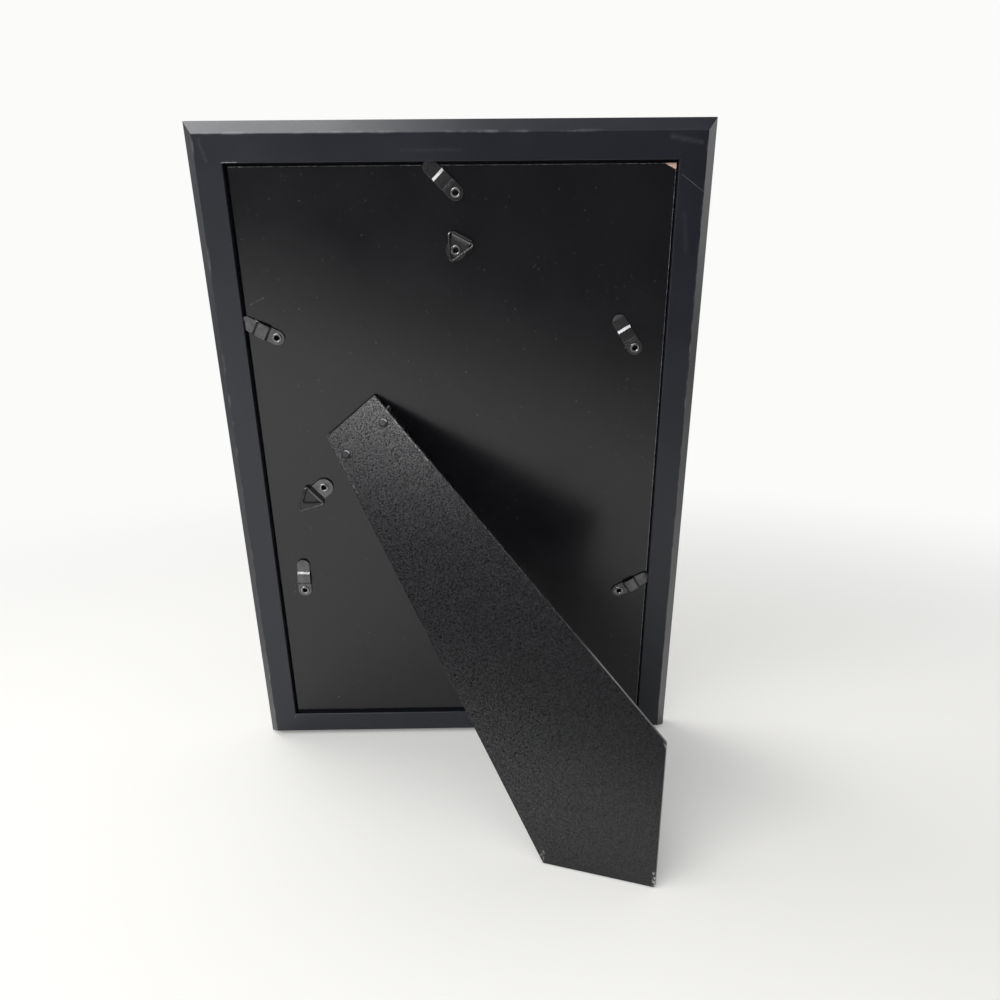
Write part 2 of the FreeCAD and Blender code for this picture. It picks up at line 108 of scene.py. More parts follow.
# Marks of use, and a few painted highlights along lit edges, each a start, an end, a half width,
# all in millimetres, and a strength
MILLIMETRE = 0.001
PAINT_MARKS = (
    ((-22, 155.8), (4, 155.6), 1.3, 0.05),
    ((97, 160.5), (110, 158.0), 1.8, 0.10),
    ((102.6, 144.8), (113.0, 137.4), 0.20, 0.6),
    ((105, 128), (107, 112), 1.8, 0.05),
    ((-110, 160.5), (-108, 152), 1.4, 0.09),
    ((-101.4, -152.9), (-100.9, -152.4), 0.4, 1.0),
    # Painted highlight along the rubbed inner arris of the top rail, at its left end
    ((-101.2, 151.2), (-94.8, 151.15), 0.5, 1.6),
)
PAPER_MARKS = (
    ((-97.5, 88.3), (-89.9, 92.0), 0.22, 0.7),
    ((-99.5, 149.3), (100, 149.3), 0.20, 0.8),
    ((100.1, 149), (100.1, -150), 0.24, 1.0),
    ((-99.6, 149.4), (-92.5, 149.2), 0.5, 0.8),
)
COVER_MARKS = (
    # The first three: rubbed cover along the right edge and the upper left edge, with painted
    # highlights of these lit edges
    ((17.0, 7.5), (39.3, -203.8), 0.32, 0.6),
    ((17.0, 1.0), (21.0, -36.0), 0.55, 0.5),
    ((-17.0, -6.0), (-19.2, -25.0), 0.9, 0.13),
    ((-16.8, 8.0), (16.8, 8.0), 0.3, 0.3),
    ((-41.0, -218.0), (-37.5, -213.5), 1.6, 0.55),
    ((-2.0, -250.5), (1.4, -246.0), 1.2, 1.0),
    ((39.2, -203.0), (37.4, -209.0), 1.5, 0.75),
    ((39.2, -204.0), (-1.6, -251.0), 0.3, 0.4),
    ((-40.5, -218.5), (-2.4, -251.0), 0.25, 0.3),
)


def linear(code):
    """An sRGB hex colour as linear red, green, blue and alpha."""
    channels = [int(code[i:i + 2], 16) / 255 for i in (0, 2, 4)]
    return [c / 12.92 if c < 0.04045 else ((c + 0.055) / 1.055) ** 2.4 for c in channels] + [1.0]


def colour(name, description, code):
    """A colour setting."""
    return bpy.props.FloatVectorProperty(
        name=name, description=description, subtype="COLOR", size=4, min=0, max=1,
        default=linear(code),
    )


def length(name, description, metres):
    """A length setting."""
    return bpy.props.FloatProperty(
        name=name, description=description, unit="LENGTH", min=0, precision=5, default=metres,
    )


class FRAME_PG_finishes(bpy.types.PropertyGroup):
    paint: colour("Rail paint", "Satin black paint of the four rails", "0e111a")
    paint_thin: colour("Thin paint", "Paint where the spray went on thinner", "151a25")
    # Also paints a highlight along an inner arris of the top rail
    paint_rubbed_and_highlight: colour("Worn paint", "Rubbed paint along the arrises", "7e7e84")
    joint: colour("Joint line", "Dark hairline where two rails meet", "060607")
    facing: colour("Facing paper", "Black paper on the hardboard back", "0a0a0e")
    facing_pale: colour("Paler paper", "Facing paper where it has been handled", "111116")
    facing_worn: colour("Worn paper", "Scratches and the rubbed edge of the facing paper", "8a8a8c")
    core: colour("Hardboard core", "Pale fibres where the paper is torn", "dcc2b2")
    core_dark: colour("Core shade", "Darker fibres of the hardboard core", "c29e8a")
    cover: colour("Strut cover", "Grained black paper round the strut", "060608")
    # Flecks that partly paint glints of the sheen
    cover_fleck_and_glint: colour("Cover flecks", "Pale flecks in the strut's grained cover", "56565c")
    # Also paints highlights along the strut's lit edges
    cover_rubbed_and_highlight: colour("Worn cover", "Rubbed edges of the strut's cover", "b0b0ae")
    rivet_paint: colour("Rivet paint", "Black paint on the hinge rivets", "343438")
    rubbed: colour("Rubbed rims", "Eyelet rims whose black plate is rubbed thin", "a8a8ac")
    hardware: colour("Fittings", "Black nickel plate of the small fittings", "747475")
    hardware_dark: colour("Stained fittings", "Black nickel plate where it is stained", "4e4e50")
    steel: colour("Nail steel", "Plain steel of the corner nails", "b4b4b2")
    steel_dark: colour("Nail marks", "Rolling marks on the nail steel", "8c8c8a")
    glass: colour("Glass", "Clear float glass", "fbfefd")
    glass_shade: colour("Glass shade", "Float glass where it is a trace greener", "f6fbf9")
    card: colour("Blank card", "White face of the card that stands in for the print", "efeeea")
    card_shade: colour("Card fibres", "Fibres in the white face of the card", "e2e1dc")
    card_back: colour("Card back", "Grey pulp at the back of the card", "5a5753")


class FRAME_PG_fittings(bpy.types.PropertyGroup):
    bore: length("Eyelet bore", "Radius of the hole through an eyelet", 0.00125)
    barrel: length("Eyelet barrel", "Outer radius of an eyelet below its rim", 0.0018)
    rim: length("Eyelet rim", "Radius of an eyelet's rolled rim", 0.0024)
    rim_height: length("Rim height", "Height of the rolled rim over the fitting", 0.0005)
    button_stack: length("Button stack", "Upper face of a turn button above the board", 0.001)
    strap_stack: length("Strap stack", "Upper face of a hanger strap above the board", 0.00135)
    wire: length("Ring wire", "Radius of the hanging rings' wire", 0.00055)
    ring_half_base: length("Ring half base", "Half the base of a hanging ring", 0.00675)
    ring_height: length("Ring height", "Base to apex of a hanging ring", 0.0123)
    ring_bend: length("Ring bend", "Run of the rounded corners of a ring", 0.0021)
    button_edge: length("Button edge", "Width of the eased edges of a turn button", 0.00016)
    strap_edge: length("Strap edge", "Width of the eased edges of a hanger strap", 0.0001)
    strut_edge: length("Strut edge", "Width of the eased edges of the strut", 0.0003)
    rivet_bend: length("Rivet bend", "Radius that rounds a rivet's head over", 0.00025)
    rivet_brim: length("Rivet brim", "Width of the brim that slopes up to a rivet's rim", 0.0008)
    rivet_rise: length("Rivet rise", "Rise of the brim of a rivet's head", 0.00017)
    rivet_dish: length("Rivet dish", "Width of the slope down into a rivet's dish", 0.0004)


class FRAME_PG_stage(bpy.types.PropertyGroup):
    floor: colour("Floor", "Plain pale floor", "f1f0ee")
    floor_tone: colour("Floor tone", "Faint unevenness of the floor", "e9e8e4")
    white: colour("White", "White of the far floor and of the surroundings", "fbfbfa")
    overhead: bpy.props.FloatProperty(
        name="Overhead", description="Power of the soft light above", unit="POWER", default=9.6)
    window: bpy.props.FloatProperty(
        name="Window", description="Power of the wide low light at the left", unit="POWER",
        default=14)
    side: bpy.props.FloatProperty(
        name="Side panel", description="Power of the small light at the left", unit="POWER",
        default=0.8)
    room: bpy.props.FloatProperty(
        name="Surroundings", description="Strength of the pale surroundings", default=1.0)
    dim: bpy.props.FloatProperty(
        name="Dim front", description="Strength of the dim room in front, in light and gloss",
        default=0.12)
    lens: bpy.props.FloatProperty(
        name="Lens", description="Focal length on a 36 mm sensor", unit="CAMERA", default=30.6)


# Node and mesh helpers

def add_node(tree, kind, feeds=(), out=0, **settings):
    """An output of a new node; feeds give its inputs, in order or by name, a socket or a value."""
    node = tree.nodes.new(kind)
    for key, value in settings.items():
        setattr(node, key, value)
    for key, value in feeds.items() if isinstance(feeds, dict) else enumerate(feeds):
        if isinstance(value, bpy.types.NodeSocket):
            tree.links.new(value, node.inputs[key])
        else:
            node.inputs[key].default_value = value
    return node.outputs[out]


def finish_named(name, **values):
    """A new material with its shader's plain values set on the shader's own sockets."""
    material = bpy.data.materials.new(name)
    material.use_nodes = True
    tree = material.node_tree
    shader = tree.nodes["Principled BSDF"]
    for key, value in values.items():
        shader.inputs[key.replace("_", " ")].default_value = value
    return material, tree, shader


def connect(tree, shader, **links):
    """Links patterns to the sockets of a shader."""
    for key, socket in links.items():
        tree.links.new(socket, shader.inputs[key.replace("_", " ")])


def measured(tree, middle, *directions):
    """Object coordinates, and how far they lie from a point along each direction."""
    place = add_node(tree, "ShaderNodeTexCoord", out="Object")
    offset = add_node(tree, "ShaderNodeVectorMath", (place, middle), operation="SUBTRACT")
    return place, [
        add_node(tree, "ShaderNodeVectorMath", (offset, way), "Value", operation="DOT_PRODUCT")
        for way in directions
    ]


def marking(tree, right, up, marks):
    """How strongly a spot is marked by use and by painted highlights: the strongest of the marks
    that pass over it.
    """
    spot = add_node(tree, "ShaderNodeCombineXYZ", (right, up))
    marked = None
    for start, end, width, strength in marks:
        first = Vector((*start, 0)) * MILLIMETRE
        line = Vector((*end, 0)) * MILLIMETRE - first
        offset = add_node(tree, "ShaderNodeVectorMath", (spot, first), operation="SUBTRACT")
        share = add_node(tree, "ShaderNodeVectorMath", (offset, line / line.length_squared),
                         "Value", operation="DOT_PRODUCT")
        share = add_node(tree, "ShaderNodeClamp", (share,))
        nearest = add_node(tree, "ShaderNodeVectorMath", {0: line, "Scale": share},
                           operation="SCALE")
        gap = add_node(tree, "ShaderNodeVectorMath", (offset, nearest), "Value",
                       operation="DISTANCE")
        mark = add_node(tree, "ShaderNodeMapRange", (gap, 0, width * MILLIMETRE, strength, 0),
                        interpolation_type="SMOOTHSTEP")
        marked = mark if marked is None else add_node(
            tree, "ShaderNodeMath", (marked, mark), operation="MAXIMUM")
    return marked


def dress(name, material):
    """Gives a CAD node a finish."""
    node = NODES[name]
    node.data.materials.clear()
    node.data.materials.append(material)


# Finishes

def rail_paint(settings):
    """Sprayed satin black paint on sanded wood: even, faintly dimpled, rubbed grey on arrises, with
    a painted highlight along one inner arris.
    """
    material, tree, shader = finish_named("satin_sprayed_paint", IOR=1.55)
    place, (right, out, up) = measured(tree, MIDDLE, RIGHT, OUT, UP)
    beyond = [
        add_node(tree, "ShaderNodeMath", (
            add_node(tree, "ShaderNodeMath", (way,), operation="ABSOLUTE"), half,
        ), operation="SUBTRACT") for way, half in ((right, OPENING_HALF[0]), (up, OPENING_HALF[1]))
    ]
    inset = add_node(tree, "ShaderNodeMath", beyond, operation="MAXIMUM")
    # Rubbed line 1.2 mm wide on the arris between the flat back and the bevel, in 9 mm patches
    gap = add_node(tree, "ShaderNodeMath", (inset, BACK_WIDTH, 0.6 * MILLIMETRE),
                   operation="COMPARE")
    patches = add_node(tree, "ShaderNodeTexNoise", {
        "Vector": place, "Scale": 1 / 0.009, "Detail": 4, "Roughness": 0.6})
    rubbed = add_node(tree, "ShaderNodeMapRange", (patches, 0.48, 0.66, 0, 0.28))
    rubbed = add_node(tree, "ShaderNodeMath", (gap, rubbed), operation="MULTIPLY")
    # Scuffs and scratches, and a painted highlight along the top rail's inner arris, broken up by
    # grain 0.8 mm across
    grain = add_node(tree, "ShaderNodeTexNoise", {
        "Vector": place, "Scale": 1 / 0.0008, "Detail": 3})
    broken = add_node(tree, "ShaderNodeMapRange", (grain, 0.36, 0.60, 0.25, 1))
    scuffs_and_highlight = add_node(tree, "ShaderNodeMath", (
        marking(tree, right, up, PAINT_MARKS), broken), operation="MULTIPLY")
    marked = add_node(tree, "ShaderNodeMath", (rubbed, scuffs_and_highlight), operation="MAXIMUM")
    # The front was never handled: no marks of use and no painted highlight deeper than 6 mm
    back = add_node(tree, "ShaderNodeMapRange", (out, -0.006, -0.004))
    marked = add_node(tree, "ShaderNodeMath", (marked, back), operation="MULTIPLY")
    # Joint of the mitres, a hairline 0.3 mm wide
    mitre = add_node(tree, "ShaderNodeMath", (*beyond, 0.2 * MILLIMETRE), operation="COMPARE")
    mitre = add_node(tree, "ShaderNodeMath", (mitre, 0.75), operation="MULTIPLY")
    # Thinner and thicker spray, 35 mm across
    cloud = add_node(tree, "ShaderNodeTexNoise", {"Vector": place, "Scale": 1 / 0.035, "Detail": 2})
    base = add_node(tree, "ShaderNodeMix", {0: cloud, 6: settings.paint, 7: settings.paint_thin},
                    2, data_type="RGBA")
    base = add_node(tree, "ShaderNodeMix", {0: marked, 6: base, 7: settings.paint_rubbed_and_highlight},
                    2, data_type="RGBA")
    base = add_node(tree, "ShaderNodeMix", {0: mitre, 6: base, 7: settings.joint},
                    2, data_type="RGBA")
    gloss = add_node(tree, "ShaderNodeMapRange", (cloud, 0.25, 0.75, 0.34, 0.42))
    # Spray dimples 1.2 mm across, and dust nibs half a millimetre wide
    dimples = add_node(tree, "ShaderNodeTexNoise", {
        "Vector": place, "Scale": 1 / 0.0012, "Detail": 2})
    dimpled = add_node(tree, "ShaderNodeBump", {"Height": dimples, "Distance": 0.000012})
    nibs = add_node(tree, "ShaderNodeMapRange", (grain, 0.70, 0.80))
    relief = add_node(tree, "ShaderNodeBump", {
        "Height": nibs, "Distance": 0.00003, "Normal": dimpled})
    connect(tree, shader, Base_Color=base, Roughness=gloss, Normal=relief)
    return material


def board_facing(settings):
    """Smooth black paper glued to hardboard: soft sheen, fine tooth, torn to pale brown fibres."""
    material, tree, shader = finish_named("black_facing_paper", IOR=1.55)
    place, (right, out, up) = measured(tree, MIDDLE, RIGHT, OUT, UP)
    # Handled areas 30 mm across
    cloud = add_node(tree, "ShaderNodeTexNoise", {"Vector": place, "Scale": 1 / 0.03, "Detail": 3})
    base = add_node(tree, "ShaderNodeMix", {0: cloud, 6: settings.facing, 7: settings.facing_pale},
                    2, data_type="RGBA")
    # Rubbed edges and scratches, broken up every millimetre, and specks of dust
    breaks = add_node(tree, "ShaderNodeTexNoise", {
        "Vector": place, "Scale": 1 / 0.001, "Detail": 3, "Roughness": 0.7})
    broken = add_node(tree, "ShaderNodeMapRange", (breaks, 0.46, 0.58, 0.1, 1))
    marked = add_node(tree, "ShaderNodeMath", (
        marking(tree, right, up, PAPER_MARKS), broken), operation="MULTIPLY")
    dust = add_node(tree, "ShaderNodeTexNoise", {"Vector": place, "Scale": 1 / 0.0011, "Detail": 1})
    specks = add_node(tree, "ShaderNodeMapRange", (dust, 0.76, 0.82, 0, 0.35))
    marked = add_node(tree, "ShaderNodeMath", (marked, specks), operation="MAXIMUM")
    base = add_node(tree, "ShaderNodeMix", {0: marked, 6: base, 7: settings.facing_worn},
                    2, data_type="RGBA")
    # Torn corner, 0.25 mm below the paper, showing fibres 0.7 mm long
    below = add_node(tree, "ShaderNodeMapRange", (
        out, TORN_BELOW + EDGE_BLUR / 2, TORN_BELOW - EDGE_BLUR / 2))
    beside, above = [
        add_node(tree, "ShaderNodeMapRange", (way, start - EDGE_BLUR, start + EDGE_BLUR))
        for way, start in ((right, TORN_RIGHT), (up, TORN_UP))
    ]
    corner = add_node(tree, "ShaderNodeMath", (beside, above), operation="MULTIPLY")
    torn = add_node(tree, "ShaderNodeMath", (corner, below), operation="MULTIPLY")
    fibres = add_node(tree, "ShaderNodeTexNoise", {
        "Vector": place, "Scale": 1 / 0.0007, "Detail": 5, "Roughness": 0.7})
    core = add_node(tree, "ShaderNodeMix", {0: fibres, 6: settings.core_dark, 7: settings.core},
                    2, data_type="RGBA")
    base = add_node(tree, "ShaderNodeMix", {0: torn, 6: base, 7: core}, 2, data_type="RGBA")
    sheen = add_node(tree, "ShaderNodeMapRange", (cloud, 0.3, 0.7, 0.20, 0.26))
    rough = add_node(tree, "ShaderNodeMix", {0: torn, 2: sheen, 3: 0.9})
    # Paper tooth 0.5 mm across
    tooth = add_node(tree, "ShaderNodeTexNoise", {
        "Vector": place, "Scale": 1 / 0.0005, "Detail": 2})
    relief = add_node(tree, "ShaderNodeBump", {"Height": tooth, "Distance": 0.000008})
    connect(tree, shader, Base_Color=base, Roughness=rough, Normal=relief)
    return material


def strut_cover(settings):
    """Grained black covering paper wrapped round the strut: short embossed fibres, pale flecks that
    partly paint glints of the sheen, and painted highlights along lit edges.
    """
    material, tree, shader = finish_named("grained_covering_paper", IOR=1.5)
    place, (across, out, down) = measured(tree, STRUT_PIVOT, ACROSS, STRUT_OUT, -DOWN)
    # Embossed fibres 0.6 mm across and half as long again, lying along and across the strut
    weights = []
    for long_across in (1.0, 0.65):
        stretched = add_node(tree, "ShaderNodeCombineXYZ", (
            add_node(tree, "ShaderNodeMath", (across, long_across), operation="MULTIPLY"), out,
            add_node(tree, "ShaderNodeMath", (down, 1.65 - long_across), operation="MULTIPLY")))
        weights.append(add_node(tree, "ShaderNodeTexNoise", {
            "Vector": stretched, "Scale": 1 / 0.0006, "Detail": 2, "Roughness": 0.6}))
    fibres = add_node(tree, "ShaderNodeMath", weights, operation="MAXIMUM")
    # The grain, and with it the pale flecks, is strongest near the top and fades to a quarter
    # towards the foot
    depth = add_node(tree, "ShaderNodeMapRange", (down, -0.06, -0.23, 1.15, 0.25))
    fibres = add_node(tree, "ShaderNodeMath", (fibres, GRAIN_MIDDLE), operation="SUBTRACT")
    fibres = add_node(tree, "ShaderNodeMath", (fibres, depth, GRAIN_MIDDLE),
                      operation="MULTIPLY_ADD")
    # Pale flecks, partly fibres and partly painted glints of the sheen
    flecks = add_node(tree, "ShaderNodeMapRange", (fibres, 0.50, 0.72, 0, 0.36))
    base = add_node(tree, "ShaderNodeMix", {0: flecks, 6: settings.cover, 7: settings.cover_fleck_and_glint},
                    2, data_type="RGBA")
    # Rubbed edges and corners, and painted highlights along the lit right and upper left edges,
    # broken up every 1.5 mm
    breaks = add_node(tree, "ShaderNodeTexNoise", {
        "Vector": place, "Scale": 1 / 0.0015, "Detail": 4, "Roughness": 0.75})
    broken = add_node(tree, "ShaderNodeMapRange", (breaks, 0.50, 0.58, 0.05, 1))
    marked = add_node(tree, "ShaderNodeMath", (
        marking(tree, across, down, COVER_MARKS), broken), operation="MULTIPLY")
    base = add_node(tree, "ShaderNodeMix", {0: marked, 6: base, 7: settings.cover_rubbed_and_highlight},
                    2, data_type="RGBA")
    # Pits between the fibres, duller than the fibres themselves
    gloss = add_node(tree, "ShaderNodeMapRange", (fibres, 0.44, 0.68, 0.28, 0.18))
    shine = add_node(tree, "ShaderNodeMapRange", (fibres, 0.44, 0.68, 0.12, 1.0))
    relief = add_node(tree, "ShaderNodeBump", {"Height": fibres, "Distance": 0.00004})
    connect(tree, shader, Base_Color=base, Roughness=gloss, Specular_IOR_Level=shine, Normal=relief)
    return material


def painted_rivet(settings):
    """Steel rivet, pressed and then painted black: smooth and glossy, a little uneven."""
    material, tree, shader = finish_named("painted_rivet_steel", IOR=1.5)
    place = add_node(tree, "ShaderNodeTexCoord", out="Object")
    # Paint settles unevenly over 1.5 mm
    runs = add_node(tree, "ShaderNodeTexNoise", {"Vector": place, "Scale": 1 / 0.0015, "Detail": 2})
    base = add_node(tree, "ShaderNodeMix", {0: runs, 6: settings.cover, 7: settings.rivet_paint},
                    2, data_type="RGBA")
    gloss = add_node(tree, "ShaderNodeMapRange", (runs, 0.3, 0.7, 0.12, 0.18))
    relief = add_node(tree, "ShaderNodeBump", {"Height": runs, "Distance": 0.00001})
    connect(tree, shader, Base_Color=base, Roughness=gloss, Normal=relief)
    return material


def nickel_plate(name, pale, dark):
    """Black nickel plate over pressed steel: dark grey metal with soft bright catches."""
    material, tree, shader = finish_named(name, Metallic=1.0)
    place = add_node(tree, "ShaderNodeTexCoord", out="Object")
    # Stains 3 mm across, and press marks 0.4 mm across
    stain = add_node(tree, "ShaderNodeTexNoise", {"Vector": place, "Scale": 1 / 0.003, "Detail": 3})
    base = add_node(tree, "ShaderNodeMix", {0: stain, 6: pale, 7: dark}, 2, data_type="RGBA")
    gloss = add_node(tree, "ShaderNodeMapRange", (stain, 0.3, 0.7, 0.24, 0.32))
    marks = add_node(tree, "ShaderNodeTexNoise", {
        "Vector": place, "Scale": 1 / 0.0004, "Detail": 2})
    relief = add_node(tree, "ShaderNodeBump", {"Height": marks, "Distance": 0.000004})
    connect(tree, shader, Base_Color=base, Roughness=gloss, Normal=relief)
    return material


def nail_steel(settings):
    """Cold rolled steel strip of the corner nails, dull from the rolls."""
    material, tree, shader = finish_named("rolled_steel_strip", Metallic=1.0)
    place = add_node(tree, "ShaderNodeTexCoord", out="Object")
    # Rolling marks 0.6 mm across
    marks = add_node(tree, "ShaderNodeTexNoise", {
        "Vector": place, "Scale": 1 / 0.0006, "Detail": 3})
    base = add_node(tree, "ShaderNodeMix", {0: marks, 6: settings.steel, 7: settings.steel_dark},
                    2, data_type="RGBA")
    gloss = add_node(tree, "ShaderNodeMapRange", (marks, 0.3, 0.7, 0.3, 0.45))
    connect(tree, shader, Base_Color=base, Roughness=gloss)
    return material


def clear_glass(settings):
    """Float glass: clear, with the faintest unevenness, and thin enough to let plain light by."""
    material, tree, shader = finish_named(
        "float_glass", IOR=1.52, Transmission_Weight=1.0, Alpha=0.25)
    place = add_node(tree, "ShaderNodeTexCoord", out="Object")
    # Slow waves 60 mm across
    waves = add_node(tree, "ShaderNodeTexNoise", {"Vector": place, "Scale": 1 / 0.06, "Detail": 1})
    tint = add_node(tree, "ShaderNodeMix", {0: waves, 6: settings.glass, 7: settings.glass_shade},
                    2, data_type="RGBA")
    haze = add_node(tree, "ShaderNodeMapRange", (waves, 0.3, 0.7, 0.0, 0.015))
    connect(tree, shader, Base_Color=tint, Roughness=haze)
    return material


def blank_card(settings):
    """White lined greyboard: a little fibrous, white to the glass and grey pulp behind."""
    material, tree, shader = finish_named("white_lined_greyboard", IOR=1.5)
    place, (out,) = measured(tree, MIDDLE, OUT)
    # Fibres 0.6 mm long
    fibres = add_node(tree, "ShaderNodeTexNoise", {
        "Vector": place, "Scale": 1 / 0.0006, "Detail": 4})
    face = add_node(tree, "ShaderNodeMapRange", (out, CARD_BACK, CARD_BACK + EDGE_BLUR))
    shade = add_node(tree, "ShaderNodeMix", {0: fibres, 6: settings.card, 7: settings.card_shade},
                     2, data_type="RGBA")
    base = add_node(tree, "ShaderNodeMix", {0: face, 6: shade, 7: settings.card_back},
                    2, data_type="RGBA")
    rough = add_node(tree, "ShaderNodeMapRange", (fibres, 0.3, 0.7, 0.75, 0.9))
    relief = add_node(tree, "ShaderNodeBump", {"Height": fibres, "Distance": 0.00001})
    connect(tree, shader, Base_Color=base, Roughness=rough, Normal=relief)
    return material


# Modelling helpers

def alone(piece):
    """Selects one object and nothing else."""
    bpy.ops.object.select_all(action="DESELECT")
    piece.select_set(True)
    bpy.context.view_layer.objects.active = piece


def lathe(name, profile, steps=40):
    """Closed ring turned about Z from the (radius, height) points of its section."""
    bpy.ops.object.select_all(action="DESELECT")
    radius, height = profile[0]
    bpy.ops.mesh.primitive_circle_add(vertices=steps, radius=radius, location=(0, 0, height))
    piece = bpy.context.active_object
    piece.name = name
    bpy.ops.object.transform_apply(location=True, rotation=True, scale=True)
    bpy.ops.object.mode_set(mode="EDIT")
    bpy.ops.mesh.select_all(action="SELECT")
    for next_radius, next_height in profile[1:] + profile[:1]:
        bpy.ops.mesh.extrude_edges_move(
            TRANSFORM_OT_translate={"value": (0, 0, next_height - height)})
        share = next_radius / radius
        bpy.ops.transform.resize(value=(share, share, 1), center_override=(0, 0, 0))
        radius, height = next_radius, next_height
    bpy.ops.mesh.select_all(action="SELECT")
    bpy.ops.mesh.remove_doubles(threshold=WELD)
    bpy.ops.mesh.normals_make_consistent(inside=False)
    bpy.ops.object.mode_set(mode="OBJECT")
    return piece


def set_in_place(piece, place, body, material):
    """Puts a finished piece's place in its mesh, and lets it ride on a body."""
    piece.data.transform(place)
    piece.matrix_world = Matrix.Identity(4)
    piece.data.materials.clear()
    piece.data.materials.append(material)
    alone(piece)
    bpy.ops.object.shade_smooth_by_angle(angle=SMOOTH)
    evened = piece.modifiers.new("evened_normals", "WEIGHTED_NORMAL")
    evened.keep_sharp = True
    evened.weight = 100
    bpy.ops.object.modifier_apply(modifier=evened.name)
    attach(piece, body)


def copied(piece, name):
    """A copy of a modelled piece with its own mesh."""
    other = bpy.data.objects.new(name, piece.data.copy())
    bpy.context.scene.collection.objects.link(other)
    return other


def standing_on(joint_name):
    """Matrix from a drawing with Z up to a pivot whose axis points out of the board."""
    joint = JOINTS[joint_name]
    out = Vector(joint["axis"]).normalized()
    side = Vector((1, 0, 0))
    turned = Matrix((side, out.cross(side), out)).transposed().to_4x4()
    return Matrix.Translation(Vector(joint["pos_m"])) @ turned


def merged_copy(node, name):
    """Copy of a CAD node's mesh with its triangles merged into whole faces, less its normals."""
    piece = copied(NODES[node], name)
    alone(piece)
    bpy.ops.mesh.customdata_custom_splitnormals_clear()
    bpy.ops.object.mode_set(mode="EDIT")
    bpy.ops.mesh.select_all(action="SELECT")
    bpy.ops.mesh.remove_doubles(threshold=WELD)
    bpy.ops.mesh.dissolve_limited(angle_limit=FLAT)
    bpy.ops.object.mode_set(mode="OBJECT")
    return piece


def eased(piece, edge):
    """Eases a piece's sharp edges by a small rounded bevel."""
    alone(piece)
    easing = piece.modifiers.new("eased_edges", "BEVEL")
    easing.width = edge
    easing.segments = 2
    easing.limit_method = "ANGLE"
    easing.angle_limit = CREASE
    bpy.ops.object.modifier_apply(modifier=easing.name)
    return piece


# Operators

class FRAME_OT_rails(bpy.types.Operator):
    """Paint the rails and finish the nails across their mitres"""
    bl_idname = "frame.rails"
    bl_label = "Rails"

    def execute(self, context):
        settings = context.scene.frame_finishes
        paint = rail_paint(settings)
        for name in ("rail_top", "rail_bottom", "rail_left", "rail_right"):
            dress(name, paint)
        dress("corner_nails", nail_steel(settings))
        return {"FINISHED"}


class FRAME_OT_glazing(bpy.types.Operator):
    """Finish the glass pane and the blank card behind it"""
    bl_idname = "frame.glazing"
    bl_label = "Glazing and card"

    def execute(self, context):
        settings = context.scene.frame_finishes
        dress("glass_pane", clear_glass(settings))
        dress("picture_card", blank_card(settings))
        return {"FINISHED"}


class FRAME_OT_backboard(bpy.types.Operator):
    """Face the backboard with black paper, torn at its top right corner"""
    bl_idname = "frame.backboard"
    bl_label = "Backboard"

    def execute(self, context):
        dress("backboard", board_facing(context.scene.frame_finishes))
        return {"FINISHED"}


